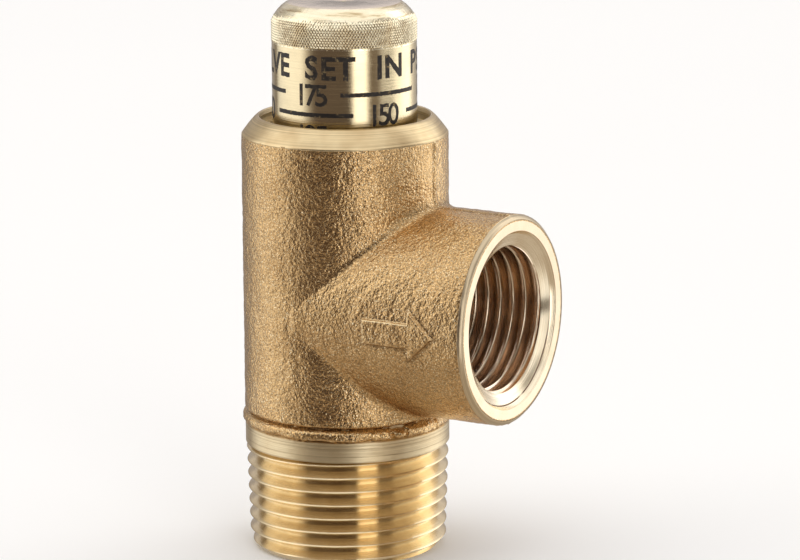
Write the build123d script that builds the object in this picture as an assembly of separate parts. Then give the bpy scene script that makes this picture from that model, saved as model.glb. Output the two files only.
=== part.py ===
from build123d import *
from math import cos, radians, sin
import os

# Side-outlet pressure relief valve. Millimetres, +Z up. The origin is the centre of the inlet's
# end face, the outlet points along +X, and the spring is drawn as installed at 137.5 psi.

# Driving dimensions: pipe threads. 3/4-14 NPT male inlet, 1/2-14 NPT female outlet.
NPT_PITCH = 25.4 / 14
NPT_TAPER = 1 / 32
NPT_DEPTH = 0.8 * NPT_PITCH
CREST_START = 0.42
CREST_END = 0.58
INLET_PIPE_R = 26.67 / 2
INLET_TURNS = 7
INLET_RUNOUT = 0.4
INLET_CHAMFER = 0.1
OUTLET_PIPE_R = 21.336 / 2
OUTLET_TURNS = 6
OUTLET_RELIEF = 0.5

# Driving dimensions: body.
BODY_R = 13.4
THREAD_TOP_Z = 14.0
COLLAR_TOP_Z = 16.5
RIM_Z = 57.1
RIM_EDGE_R = 11.35
RIM_INNER_R = 11.1
RIM_CHAMFER_R = 12.45
RIM_CHAMFER_DROP = 1.15
RIM_CHAMFER_HEIGHT = 2.4
LIP_DEPTH = 2.1
BOSS_R = 13.55
OUTLET_Z = 32.55
OUTLET_X = 24.85
OUTLET_EDGE = 0.7
INLET_BORE_R = 9.5
CHAMBER_R = 10.25
FLOOR_Z = 21.5
WEB = 2.2
SEAT_Z = 23.5
SEAT_INNER_R = 6.5
SEAT_OUTER_R = 8.3
OUTLET_PORT_R = 8.3
COUNTERSINK_DEPTH = 1.6
COUNTERSINK_R = 11.45
CUTTER_OVERRUN = 1.0

# Driving dimensions: the flow arrow cast on the boss's flank.
ARROW_TAIL_X = 10.6
ARROW_HEAD_X = 17.1
ARROW_TIP_X = 20.7
ARROW_Z = 32.35
ARROW_SHAFT = 3.2
ARROW_HEAD = 6.8
ARROW_PROUD = 0.35

# Driving dimensions: cap and its thread, 15/16-14. The thread is drawn plain, at its major radius,
# and the body's rim is rolled in over it, which is what keeps the cap in the body.
CAP_THREAD_R = 23.8 / 2
CAP_THREAD_LOW_Z = 36.4
RUNNING = 0.08
CAP_TOP_Z = 71.9
CAP_R = 9.35
CAP_BORE_R = 7.6
CAP_FLAT_R = 7.3
CAP_SHOULDER_Z = 69.4
CAP_SHOULDER_MID_R = 8.65
CAP_SHOULDER_MID_Z = 70.7
CAP_CEILING_Z = 68.0
SKIRT_LOW_Z = 41.0
SKIRT_TOP_Z = 45.4
CENTRE_MARK_R = 1.2
CENTRE_MARK_DEPTH = 0.5

# Driving dimensions: spring and poppet.
WASHER_THICK = 0.8
WASHER_BORE_R = 2.0
BUTTON_THICK = 1.7
PILOT_HEIGHT = 3.0
PILOT_CHAMFER = 0.6
SPRING_WIRE = 1.95
SPRING_MEAN_R = 6.25
SPRING_ACTIVE = 7.0
SPRING_CLOSED = 1.0
SPRING_END_GAP = 0.02
COIL_GAP = 0.03
POINTS_PER_TURN = 8
SIDE_CLEARANCE = 0.15
DISC_THICK = 2.0
DISC_R = 8.9
DISC_PROUD = 0.5
HOLDER_R = 9.6
HOLDER_FLANGE_Z = 28.0
WING_COUNT = 4
WING_ANGLE = 45
WING_WIDTH = 3.0
WING_LENGTH = 1.2
WING_TOP_Z = 27.0
SCREW_R = 2.0
SCREW_LENGTH = 6.0
SCREW_HEAD_R = 3.1
SCREW_HEAD = 1.3
SCREW_HEAD_CHAMFER = 0.5
SLOT_WIDTH = 0.9
SLOT_DEPTH = 0.6
DISC_WASHER_R = 4.6
DISC_WASHER_THICK = 0.6

# Worked out from the dimensions above.
BUTTON_TOP_Z = CAP_CEILING_Z - WASHER_THICK
SPRING_TOP_Z = BUTTON_TOP_Z - BUTTON_THICK
SPRING_LOW_Z = HOLDER_FLANGE_Z
PILOT_R = SPRING_MEAN_R - SPRING_WIRE / 2 - SIDE_CLEARANCE


def turned(*profile):
    """A solid of revolution about Z from (radius, height) points."""
    return revolve(Plane.XZ * make_face(Polyline(*profile, close=True)), Axis.Z)


def ring(inner, outer, low, high):
    """A plain washer shape between two heights."""
    return turned((inner, low), (outer, low), (outer, high), (inner, high))


def along_outlet(solid):
    """Turn a solid made about Z so that its axis lies along the outlet, with z = 0 at the body's axis."""
    return Location((0, 0, OUTLET_Z), (0, 90, 0)) * solid


def thread_rings(first, crest_r, slope, pitch, depth, turns):
    """Outline points of a thread drawn as rings: for each pitch a root, two flanks and a short crest."""
    points = []
    for turn in range(turns):
        start = first + turn * pitch
        radius = crest_r + slope * (start - first)
        points.append((radius - depth, start))
        points.append((radius, start + CREST_START * pitch))
        points.append((radius, start + CREST_END * pitch))
    return points


def inlet_stem():
    """The male inlet: a chamfered start, the rings of its taper thread and the turned collar."""
    runout_z = THREAD_TOP_Z - INLET_RUNOUT * NPT_PITCH
    first = runout_z - INLET_TURNS * NPT_PITCH
    crest = INLET_PIPE_R - NPT_TAPER * (THREAD_TOP_Z - first)
    rings = thread_rings(first, crest, NPT_TAPER, NPT_PITCH, NPT_DEPTH, INLET_TURNS)
    root = INLET_PIPE_R - NPT_DEPTH
    return turned(
        (0, 0), (crest - NPT_DEPTH - INLET_CHAMFER, 0), *rings,
        (root, runout_z), (root, THREAD_TOP_Z),
        (BODY_R, THREAD_TOP_Z), (BODY_R, COLLAR_TOP_Z), (0, COLLAR_TOP_Z),
    )


def barrel():
    """The cast barrel up to the rounded chamfer of the rim."""
    return turned(
        (0, COLLAR_TOP_Z), (BODY_R, COLLAR_TOP_Z),
        (BODY_R, RIM_Z - RIM_CHAMFER_HEIGHT),
        (RIM_CHAMFER_R, RIM_Z - RIM_CHAMFER_DROP),
        (RIM_EDGE_R, RIM_Z), (0, RIM_Z),
    )


def outlet_boss():
    """The cast outlet boss, about as wide as the barrel, with a small turned edge at its face."""
    return along_outlet(turned(
        (0, 0), (BOSS_R, 0), (BOSS_R, OUTLET_X - OUTLET_EDGE),
        (BOSS_R - OUTLET_EDGE, OUTLET_X), (0, OUTLET_X),
    ))


def flow_arrow():
    """The raised arrow on the boss's flank, pointing along the outlet and following the boss's curve."""
    half_shaft = ARROW_SHAFT / 2
    half_head = ARROW_HEAD / 2
    outline = Polyline(
        (ARROW_TAIL_X, ARROW_Z - half_shaft), (ARROW_HEAD_X, ARROW_Z - half_shaft),
        (ARROW_HEAD_X, ARROW_Z - half_head), (ARROW_TIP_X, ARROW_Z),
        (ARROW_HEAD_X, ARROW_Z + half_head), (ARROW_HEAD_X, ARROW_Z + half_shaft),
        (ARROW_TAIL_X, ARROW_Z + half_shaft), close=True,
    )
    block = extrude(Plane.XZ * make_face(outline), 2 * BOSS_R)
    shell = along_outlet(ring(BOSS_R - CUTTER_OVERRUN, BOSS_R + ARROW_PROUD, 0, OUTLET_X))
    return block & shell


def outlet_bore():
    """The female outlet: countersink, rings of taper thread narrowing inwards, and the port."""
    mouth_r = OUTLET_PIPE_R - COUNTERSINK_DEPTH * NPT_TAPER
    inner_z = OUTLET_X - COUNTERSINK_DEPTH - OUTLET_TURNS * NPT_PITCH
    inner_crest = mouth_r - OUTLET_TURNS * NPT_PITCH * NPT_TAPER
    rings = thread_rings(inner_z, inner_crest, NPT_TAPER, NPT_PITCH, NPT_DEPTH, OUTLET_TURNS)
    return along_outlet(turned(
        (0, 0), (OUTLET_PORT_R, 0), (OUTLET_PORT_R, inner_z - OUTLET_RELIEF), *rings,
        (mouth_r - NPT_DEPTH, OUTLET_X - COUNTERSINK_DEPTH),
        (COUNTERSINK_R, OUTLET_X), (0, OUTLET_X),
    ))


def body_bores():
    """Everything turned out of the body's middle: inlet bore, seat orifice, and chamber with its lip."""
    inlet = turned((0, 0), (INLET_BORE_R, 0), (INLET_BORE_R, FLOOR_Z - WEB), (0, FLOOR_Z - WEB))
    above_seat = SEAT_Z + CUTTER_OVERRUN
    orifice = turned((0, 0), (SEAT_INNER_R, 0), (SEAT_INNER_R, above_seat), (0, above_seat))
    thread_r = CAP_THREAD_R + RUNNING
    chamber = turned(
        (0, SEAT_Z), (SEAT_OUTER_R, SEAT_Z), (SEAT_OUTER_R, FLOOR_Z), (CHAMBER_R, FLOOR_Z),
        (CHAMBER_R, CAP_THREAD_LOW_Z), (thread_r, CAP_THREAD_LOW_Z),
        (thread_r, RIM_Z - LIP_DEPTH), (RIM_INNER_R, RIM_Z), (0, RIM_Z),
    )
    return inlet, orifice, chamber


def valve_body():
    """The whole casting with its machined threads, bores and seat."""
    solid = inlet_stem() + barrel() + outlet_boss() + flow_arrow()
    solid -= outlet_bore()
    for bore in body_bores():
        solid -= bore
    return solid


def adjusting_cap():
    """The cap: rounded shoulder, scale sleeve and the wider skirt that screws into the body."""
    return turned(
        (CAP_BORE_R, SKIRT_LOW_Z), (CAP_THREAD_R, SKIRT_LOW_Z), (CAP_THREAD_R, SKIRT_TOP_Z),
        (CAP_R, SKIRT_TOP_Z), (CAP_R, CAP_SHOULDER_Z),
        (CAP_SHOULDER_MID_R, CAP_SHOULDER_MID_Z), (CAP_FLAT_R, CAP_TOP_Z),
        (CENTRE_MARK_R, CAP_TOP_Z), (0, CAP_TOP_Z - CENTRE_MARK_DEPTH),
        (0, CAP_CEILING_Z), (CAP_BORE_R, CAP_CEILING_Z),
    )


def thrust_washer():
    """A hard washer that lets the cap turn over the spring button."""
    return ring(WASHER_BORE_R, CAP_BORE_R - SIDE_CLEARANCE, BUTTON_TOP_Z, CAP_CEILING_Z)


def spring_button():
    """The upper spring seat, with a pilot that centres the spring."""
    pilot_z = SPRING_TOP_Z - PILOT_HEIGHT
    return turned(
        (0, pilot_z), (PILOT_R - PILOT_CHAMFER, pilot_z),
        (PILOT_R, pilot_z + PILOT_CHAMFER), (PILOT_R, SPRING_TOP_Z),
        (CAP_BORE_R - SIDE_CLEARANCE, SPRING_TOP_Z), (CAP_BORE_R - SIDE_CLEARANCE, BUTTON_TOP_Z),
        (0, BUTTON_TOP_Z),
    )


def coil_height(turn, total, low, high):
    """Height of the wire's centre after some turns: flat closed ends and an even rise between them."""
    closed_rise = SPRING_WIRE * SPRING_CLOSED
    rise = (high - low - 2 * closed_rise) / (total - 2 * SPRING_CLOSED)
    if turn <= SPRING_CLOSED:
        return low + SPRING_WIRE * turn
    if turn >= total - SPRING_CLOSED:
        return high - SPRING_WIRE * (total - turn)
    return low + closed_rise + rise * (turn - SPRING_CLOSED)


def pressure_spring():
    """The compression spring, closed at both ends."""
    total = SPRING_ACTIVE + 2 * SPRING_CLOSED
    low = SPRING_LOW_Z + SPRING_WIRE / 2 + SPRING_END_GAP
    high = SPRING_TOP_Z - SPRING_WIRE / 2 - SPRING_END_GAP
    steps = int(total * POINTS_PER_TURN)
    points = []
    for step in range(steps + 1):
        turn = total * step / steps
        angle = radians(360 * turn)
        height = coil_height(turn, total, low, high)
        points.append((SPRING_MEAN_R * cos(angle), SPRING_MEAN_R * sin(angle), height))
    path = Spline(*points)
    section = Plane(origin=path @ 0, z_dir=path % 0) * Circle((SPRING_WIRE - COIL_GAP) / 2)
    return sweep(section, path, is_frenet=True)


def disc_holder():
    """The poppet: a cup for the seat disc, guide wings, and a pilot for the spring."""
    cup_low = SEAT_Z + DISC_PROUD
    pilot_z = HOLDER_FLANGE_Z + PILOT_HEIGHT
    disc_top = SEAT_Z + DISC_THICK
    screw_top = disc_top + SCREW_LENGTH - DISC_WASHER_THICK
    solid = turned(
        (0, disc_top), (DISC_R, disc_top), (DISC_R, cup_low), (HOLDER_R, cup_low),
        (HOLDER_R, HOLDER_FLANGE_Z), (PILOT_R, HOLDER_FLANGE_Z),
        (PILOT_R, pilot_z - PILOT_CHAMFER), (PILOT_R - PILOT_CHAMFER, pilot_z), (0, pilot_z),
    )
    rib = Pos(HOLDER_R, 0, (cup_low + WING_TOP_Z) / 2) * Box(WING_LENGTH, WING_WIDTH, WING_TOP_Z - cup_low)
    for wing in range(WING_COUNT):
        solid += Rot(0, 0, WING_ANGLE + 360 / WING_COUNT * wing) * rib
    solid &= ring(0, CHAMBER_R - RUNNING, cup_low, pilot_z)
    return solid - Pos(0, 0, (disc_top + screw_top) / 2) * Cylinder(SCREW_R, screw_top - disc_top)


def seat_disc():
    """The elastomer disc, resting on the body's seat."""
    return ring(SCREW_R, DISC_R, SEAT_Z, SEAT_Z + DISC_THICK)


def disc_washer():
    """The washer that holds the seat disc's middle, inside the orifice."""
    return ring(SCREW_R, DISC_WASHER_R, SEAT_Z - DISC_WASHER_THICK, SEAT_Z)


def disc_screw():
    """The pan-head screw through washer and disc into the holder."""
    head_top = SEAT_Z - DISC_WASHER_THICK
    head_low = head_top - SCREW_HEAD
    tip = SEAT_Z + DISC_THICK + SCREW_LENGTH - DISC_WASHER_THICK
    screw = turned(
        (0, head_low), (SCREW_HEAD_R - SCREW_HEAD_CHAMFER, head_low),
        (SCREW_HEAD_R, head_low + SCREW_HEAD_CHAMFER), (SCREW_HEAD_R, head_top),
        (SCREW_R, head_top), (SCREW_R, tip), (0, tip),
    )
    slot = Pos(0, 0, head_low) * Box(2 * SCREW_HEAD_R + CUTTER_OVERRUN, SLOT_WIDTH, 2 * SLOT_DEPTH)
    return screw - slot


PARTS = {
    "valve_body": valve_body,
    "adjusting_cap": adjusting_cap,
    "thrust_washer": thrust_washer,
    "spring_button": spring_button,
    "pressure_spring": pressure_spring,
    "disc_holder": disc_holder,
    "seat_disc": seat_disc,
    "disc_washer": disc_washer,
    "disc_screw": disc_screw,
}

os.makedirs("parts", exist_ok=True)
for name, make in PARTS.items():
    export_step(make(), f"parts/{name}.step")
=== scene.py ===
import bpy
import bmesh
import math
import numpy as np
from math import cos, hypot, pi, radians, sin
from mathutils import Matrix, Vector, noise


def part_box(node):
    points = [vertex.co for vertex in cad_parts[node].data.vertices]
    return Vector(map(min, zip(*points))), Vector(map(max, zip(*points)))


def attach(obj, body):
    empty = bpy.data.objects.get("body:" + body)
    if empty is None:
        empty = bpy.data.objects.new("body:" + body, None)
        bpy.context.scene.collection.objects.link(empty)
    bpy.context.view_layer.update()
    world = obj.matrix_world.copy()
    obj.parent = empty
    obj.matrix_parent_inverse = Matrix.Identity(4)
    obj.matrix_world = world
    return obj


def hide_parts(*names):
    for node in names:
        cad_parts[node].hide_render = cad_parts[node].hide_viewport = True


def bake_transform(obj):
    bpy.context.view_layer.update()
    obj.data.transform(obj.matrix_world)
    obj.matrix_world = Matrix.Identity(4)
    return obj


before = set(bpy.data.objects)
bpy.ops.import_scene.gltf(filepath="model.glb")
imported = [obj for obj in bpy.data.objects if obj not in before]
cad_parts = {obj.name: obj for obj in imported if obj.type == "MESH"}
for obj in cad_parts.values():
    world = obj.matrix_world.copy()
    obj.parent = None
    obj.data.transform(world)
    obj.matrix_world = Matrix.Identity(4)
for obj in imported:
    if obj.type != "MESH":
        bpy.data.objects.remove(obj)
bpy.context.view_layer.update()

# Lengths in this script are millimetres until a mesh is made, which is in metres.
MM = 0.001
BODY_LOW, BODY_HIGH = (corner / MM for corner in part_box("valve_body"))
CAP_LOW, CAP_HIGH = (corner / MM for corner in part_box("adjusting_cap"))
SPRING_LOW, SPRING_HIGH = (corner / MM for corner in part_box("pressure_spring"))

# Body.
BODY_R = -BODY_LOW.x
RIM_Z = BODY_HIGH.z
OUTLET_X = BODY_HIGH.x
OUTLET_Z = 32.55
BOSS_R = 13.55
MOUTH_CHAMFER = 0.45
COUNTERSINK_R = 11.05
STEP_DEPTH = 0.72
THREAD_START = 1.25
CAST_LOW_Z = 15.6
COLLAR_TOP_Z = 16.6
COLLAR_LOW_Z = 14.0
FILLET = 1.7
SKIN = 0.8
RIM_EDGE_R = 11.35
RIM_DROP = 2.4
LIP_R = 11.12
CORE_R = BODY_R - 0.55
ARROW_TAIL_X = 10.6
ARROW_HEAD_X = 17.1
ARROW_TIP_X = 20.8
ARROW_Z = 32.35
ARROW_SHAFT_HALF = 1.6
ARROW_HEAD_HALF = 3.3
FOOT_GROOVE_Z = 18.35
# The lathe has cut above and beyond these places.
RIM_CUT_Z = RIM_Z - RIM_DROP - 0.6
MOUTH_CUT_X = OUTLET_X - 1.6

# Threads, all of 14 turns to the inch. The phases turn the pipe threads to where the photo shows them.
PITCH = 25.4 / 14
NPT_DEPTH = 1.42
NPT_TAPER = 1 / 32
INLET_PHASE = 0.33
OUTLET_PHASE = 0.2
INLET_R = 13.3
OUTLET_THREAD_R = 10.75
CAP_THREAD_R = 11.88
CAP_THREAD_DEPTH = 0.95

# Inside.
INLET_BORE_R = 9.5
CHAMBER_R = 10.25
CAP_THREAD_Z = 36.4
FLOOR_Z = 21.5
WEB_LOW_Z = 19.3
SEAT_Z = 23.5
SEAT_R = 6.5
SEAT_RIM_R = 8.3
PORT_R = 8.3

# Cap.
CAP_R = 9.35
CAP_FLAT_R = 7.3
CAP_TOP_Z = CAP_HIGH.z
CAP_LOW_Z = CAP_LOW.z
SKIRT_TOP_Z = 45.4
CAP_BORE_R = 7.6
CAP_CEILING_Z = 68.0
KNURL_LOW_Z = 66.75
KNURL_TOP_Z = 70.5
KNURL_LINES = 150
KNURL_LEAN = radians(31)
# The cap's rounded shoulder, as (radius, height above the cylinder's end).
SHOULDER_Z = 69.45
SHOULDER = (
    (9.35, 0.0), (9.3, 0.12), (9.07, 0.58), (8.64, 1.24), (8.1, 1.8), (7.55, 2.2), (7.2, 2.36),
    (6.9, 2.43), (6.6, 2.45),
)
# The stamped marks.
SCALE_STEP = 2.62
FIRST_ROW_Z = 61.1
RING_WORDS = "RELIEF VALVE SET IN PSI   "
RING_WORDS_Z = 63.1
MARK_PROUD = 0.012
MARK_SUNK = 0.03
MARK_SLICE = 0.22

# Spring.
SPRING_WIRE = 1.95
SPRING_MEAN_R = 6.25
SPRING_TURNS = 9.0
SPRING_CLOSED_TURNS = 1.0

# Studio. The camera stands in front, turned towards the outlet side, and looks down a little.
CAMERA_AZIMUTH = radians(30.63)
CAMERA_ELEVATION = radians(12.51)
CAMERA_ROLL = radians(-0.33)
CAMERA_DISTANCE = 500.0
CAMERA_AIM_Z = 33.1
CAMERA_AIM_RIGHT = 6.994
CAMERA_AIM_UP = 1.962
CAMERA_SENSOR = 36.0
CAMERA_LENS = 172.5255
STUDIO_FLOOR = (0.52, 0.45, 0.37)
STUDIO_CEILING = (1.15, 1.13, 1.11)
STUDIO_BAR = (0.12, 0.1, 0.08)
# What stands round the object, as degrees from the camera, positive to its right, then the colour there.
# The walls reach from 21 degrees below level to 8 above it, and the upper part from 14 to 37.
STUDIO_WALLS = (
    (-175, 0.4, 0.38, 0.38), (-150, 0.36, 0.33, 0.31), (-137, 0.22, 0.19, 0.16), (-127, 0.95, 0.94, 0.93),
    (-114, 1.2, 1.19, 1.18), (-72, 1.2, 1.18, 1.15), (-62, 0.6, 0.55, 0.5), (-53, 0.18, 0.15, 0.13),
    (-46, 0.12, 0.09, 0.075), (11, 0.11, 0.085, 0.07), (16, 2.0, 1.94, 1.88), (35, 2.0, 1.94, 1.88),
    (40, 0.2, 0.16, 0.13), (57, 0.22, 0.18, 0.15), (64, 0.8, 0.77, 0.74), (72, 1.1, 1.08, 1.05),
    (100, 1.45, 1.43, 1.4), (108, 1.8, 1.78, 1.76), (126, 1.8, 1.78, 1.76), (134, 0.95, 0.91, 0.88),
    (150, 0.5, 0.47, 0.45), (175, 0.4, 0.38, 0.38),
)
STUDIO_UPPER = (
    (-175, 0.72, 0.68, 0.67), (-137, 0.45, 0.43, 0.41), (-120, 1.1, 1.1, 1.1), (-108, 1.5, 1.47, 1.43),
    (-68, 1.5, 1.47, 1.43), (-56, 0.2, 0.17, 0.14), (-46, 0.1, 0.08, 0.065), (11, 0.1, 0.08, 0.065),
    (16, 1.4, 1.36, 1.32), (35, 1.4, 1.36, 1.32), (40, 0.2, 0.17, 0.14), (60, 0.24, 0.21, 0.18),
    (98, 0.4, 0.37, 0.34), (108, 1.8, 1.78, 1.76), (130, 1.8, 1.78, 1.76), (150, 0.7, 0.67, 0.66),
    (175, 0.72, 0.68, 0.67),
)


# ---- Mesh helpers

def new_object(name, data):
    """A new object in the scene."""
    obj = bpy.data.objects.new(name, data)
    bpy.context.scene.collection.objects.link(obj)
    return obj


def add_object(name, work):
    """A new object from a bmesh, which is freed."""
    mesh = bpy.data.meshes.new(name)
    work.to_mesh(mesh)
    work.free()
    return new_object(name, mesh)


def make_object(name, vertices, faces, smooth=True):
    """A mesh object from millimetre vertices, with doubles merged and normals outwards."""
    source = bpy.data.meshes.new(name + "_source")
    source.from_pydata([tuple(v) for v in np.asarray(vertices) * MM], [], faces)
    work = bmesh.new()
    work.from_mesh(source)
    bpy.data.meshes.remove(source)
    bmesh.ops.remove_doubles(work, verts=work.verts, dist=2e-7)
    bmesh.ops.dissolve_degenerate(work, edges=work.edges, dist=1e-7)
    bmesh.ops.recalc_face_normals(work, faces=work.faces)
    obj = add_object(name, work)
    if smooth:
        shade(obj)
    return obj


def shade(obj, degrees=32):
    """Smooth shading that keeps edges sharper than the angle."""
    for polygon in obj.data.polygons:
        polygon.use_smooth = True
    work = bmesh.new()
    work.from_mesh(obj.data)
    limit = radians(degrees)
    for edge in work.edges:
        if len(edge.link_faces) == 2:
            edge.smooth = edge.calc_face_angle(0) < limit
    work.to_mesh(obj.data)
    work.free()


def mesh_of(obj):
    """A new mesh from an object with its modifiers, or from a text curve."""
    bpy.context.view_layer.update()
    graph = bpy.context.evaluated_depsgraph_get()
    return bpy.data.meshes.new_from_object(obj.evaluated_get(graph))


def apply_modifiers(obj):
    """Replace an object's mesh by the result of its modifiers."""
    mesh = mesh_of(obj)
    obj.modifiers.clear()
    old = obj.data
    obj.data = mesh
    bpy.data.meshes.remove(old)


def points_of(vertices):
    """Where vertices are, in millimetres."""
    return np.array([vertex.co for vertex in vertices]) / MM


def move_to(work, points):
    """Put a bmesh's vertices at points in millimetres."""
    for vertex, place in zip(work.verts, points * MM):
        vertex.co = place


def remove(obj):
    """Delete an object and its mesh."""
    mesh = obj.data
    bpy.data.objects.remove(obj)
    bpy.data.meshes.remove(mesh)


def smoothstep(low, high, value):
    """0 at low to 1 at high, with a soft start and end; low may be above high."""
    t = np.clip((value - low) / (high - low), 0, 1)
    return t * t * (3 - 2 * t)


def hill(distance, width):
    """1 at a distance of 0, falling away on both sides."""
    return np.exp(-(distance / width) ** 2)


class Turning:
    """Collects the strips of one turned piece: plain rings and stretches of helical thread."""

    def __init__(self, segments=256):
        self.segments = segments
        self.angles = np.arange(segments) * 2 * pi / segments
        self.rings = []
        self.faces = []

    def ring(self, radius, height):
        """The points of one ring. Radius may be one number or one for each angle."""
        radius = np.broadcast_to(radius, self.angles.shape)
        height = np.broadcast_to(height, self.angles.shape)
        return np.stack([radius * np.cos(self.angles), radius * np.sin(self.angles), height], 1)

    def strip(self, rings):
        """Faces between rings that follow each other."""
        n = self.segments
        start = n * len(self.rings)
        self.rings += rings
        for row in range(len(rings) - 1):
            a = start + row * n
            for i in range(n):
                j = (i + 1) % n
                self.faces.append((a + i, a + j, a + n + j, a + n + i))

    def plain(self, *points):
        """A smooth turned stretch through (radius, height) points."""
        self.strip([self.ring(r, z) for r, z in points])

    def thread(self, surface, low, high, phase, per_pitch):
        """A helical stretch. surface(z, t) gives the radius at height z and thread phase t in turns."""
        n = self.segments
        turn = self.angles / (2 * pi)
        first = math.floor(low / PITCH) - 2
        rows = (math.ceil(high / PITCH) + 2 - first) * per_pitch
        grid = []
        for row in range(rows + 1):
            z = (first + row / per_pitch + turn) * PITCH + phase
            held = np.clip(z, low, high)
            # A point held at an end keeps its place on the helix, so that the end is cut square.
            t = row / per_pitch + (held - z) / PITCH
            grid.append(self.ring(surface(held, t % 1.0), held))
        start = n * len(self.rings)
        self.rings += grid
        for row in range(rows):
            for i in range(n):
                if i < n - 1:
                    quad = (row, i), (row, i + 1), (row + 1, i + 1), (row + 1, i)
                elif row + per_pitch + 1 <= rows:
                    quad = (row, i), (row + per_pitch, 0), (row + per_pitch + 1, 0), (row + 1, i)
                else:
                    continue
                self.faces.append(tuple(start + r * n + c for r, c in quad))
        ends = []
        for edge in (low, high):
            t = ((edge - phase) / PITCH - turn) % 1.0
            ends.append(self.ring(surface(np.full(n, edge), t), edge))
        return ends

    def finish(self, name, place=None):
        """The piece as an object, laid where place puts it."""
        vertices = np.concatenate(self.rings)
        if place:
            vertices = place(vertices)
        return make_object(name, vertices, self.faces)


def thread_form(t, flat=0.1, soft=0.07):
    """Depth of a thread, 0 at the crest (t = 0.5) to 1 at the root (t = 0), with soft corners."""
    total = 0
    for shift in (-soft, -soft / 2, 0, soft / 2, soft):
        away = np.abs(2 * ((t + shift) % 1.0) - 1)
        total = total + np.clip((away - flat) / (1 - 2 * flat), 0, 1)
    return total / 5


# ---- Body casting

def add_bar(work, radius, low, high, along_x=False):
    """A closed round bar that the casting is grown from."""
    bar = bmesh.ops.create_cone(
        work, cap_ends=True, segments=128, radius1=radius * MM, radius2=radius * MM,
        depth=(high - low) * MM,
    )
    middle = (low + high) / 2 * MM
    if along_x:
        place = Matrix.Translation((middle, 0, OUTLET_Z * MM)) @ Matrix.Rotation(pi / 2, 4, "Y")
    else:
        place = Matrix.Translation((0, 0, middle))
    bmesh.ops.transform(work, matrix=place, verts=bar["verts"])


def tee_parts(points, radius):
    """Distances to the tee's barrel and boss, the fillet's reach and how deep a point lies in it."""
    x, y, z = points.T
    barrel = np.hypot(x, y)
    boss = np.hypot(y, z - OUTLET_Z)
    to_barrel = barrel - radius
    to_boss = np.maximum(boss - radius - (BOSS_R - BODY_R), -x)
    along = np.clip(y * y / np.maximum(barrel * boss, 1e-6), 0, 1)
    reach = FILLET * (1 - along) ** 1.5 + 1e-3
    overlap = np.maximum(reach - np.abs(to_barrel - to_boss), 0)
    return to_barrel, to_boss, reach, overlap


def tee_distance(points, radius):
    """Distance to a tee of two near-equal round bars, filleted where their surfaces turn apart."""
    to_barrel, to_boss, reach, overlap = tee_parts(points, radius)
    return np.minimum(to_barrel, to_boss) - overlap ** 2 / (4 * reach)


def crease(points, radius):
    """1 in the bottom of the fillet between barrel and boss, 0 away from it."""
    _, _, reach, overlap = tee_parts(points, radius)
    return (overlap / reach) ** 2 * smoothstep(0.05, 0.5, reach)


def gradient(points, radius):
    """The direction straight out of the tee's surface at each point."""
    step = 1e-3
    parts = []
    for axis in np.eye(3):
        ahead = tee_distance(points + step * axis, radius)
        behind = tee_distance(points - step * axis, radius)
        parts.append((ahead - behind) / (2 * step))
    slope = np.stack(parts, 1)
    return slope / np.maximum(np.linalg.norm(slope, axis=1, keepdims=True), 1e-6)


def tee_surface(name, radius, voxel):
    """An even mesh of the tee, each vertex on its exact surface, open at its three ends."""
    # The bars reach past the ends, so that the cuts leave no rounded edge of the remesh.
    reach = 3.0
    clear = 2.0
    work = bmesh.new()
    add_bar(work, radius, CAST_LOW_Z - reach, RIM_Z + reach)
    add_bar(work, radius + BOSS_R - BODY_R, 0, OUTLET_X + reach, along_x=True)
    obj = add_object(name, work)
    grow = obj.modifiers.new("even", "REMESH")
    grow.mode = "VOXEL"
    grow.voxel_size = voxel * MM
    apply_modifiers(obj)
    work = bmesh.new()
    work.from_mesh(obj.data)
    points = points_of(work.verts)
    on_side = (points[:, 2] > CAST_LOW_Z - clear) & (points[:, 2] < RIM_Z + clear)
    on_side &= points[:, 0] < OUTLET_X + clear
    for _ in range(6):
        move = tee_distance(points, radius)[:, None] * gradient(points, radius)
        points[on_side] -= move[on_side]
    move_to(work, points)
    ends = (
        ((0, 0, CAST_LOW_Z), (0, 0, -1)),
        ((0, 0, RIM_Z), (0, 0, 1)),
        ((OUTLET_X, 0, 0), (1, 0, 0)),
    )
    for place, outwards in ends:
        geometry = work.verts[:] + work.edges[:] + work.faces[:]
        bmesh.ops.bisect_plane(
            work, geom=geometry, dist=1e-6, plane_co=Vector(place) * MM, plane_no=outwards, clear_outer=True,
        )
    return obj, work


def rim_envelope(height):
    """Radius that the lathe leaves near the rim: a rounded chamfer from the barrel to the lip."""
    drop = np.clip((RIM_Z - height) / RIM_DROP, 0, 1.3)
    return RIM_EDGE_R + (BODY_R + 0.02 - RIM_EDGE_R) * drop ** 0.82


def mouth_envelope(x):
    """Radius that the lathe leaves at the outlet's edge."""
    drop = np.clip((OUTLET_X - x) / MOUTH_CHAMFER, 0, 2.5)
    return BOSS_R - MOUTH_CHAMFER + MOUTH_CHAMFER * drop


def rolling(points, size, seed):
    """Smooth noise from -1 to 1 for each point."""
    shift = Vector((seed, seed * 1.7, -seed))
    return np.array([noise.noise(Vector(p) / size + shift) for p in points])


def arrow_outside(points):
    """Distance outside the flow arrow's outline on the boss's front flank, less than 0 inside."""
    x = points[:, 0]
    up = np.abs(points[:, 2] - ARROW_Z)
    shaft = np.maximum(np.maximum(ARROW_TAIL_X - x, x - ARROW_HEAD_X - 0.5), up - ARROW_SHAFT_HALF)
    lean = ARROW_HEAD_HALF / (ARROW_TIP_X - ARROW_HEAD_X)
    side = (up - (ARROW_TIP_X - x) * lean) / hypot(1, lean)
    # The head's two barbs are blunt.
    head = np.maximum(np.maximum(ARROW_HEAD_X - x, side), up - ARROW_HEAD_HALF + 0.15)
    return np.where(points[:, 1] < 0, np.minimum(shaft, head), 9.0)


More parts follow.
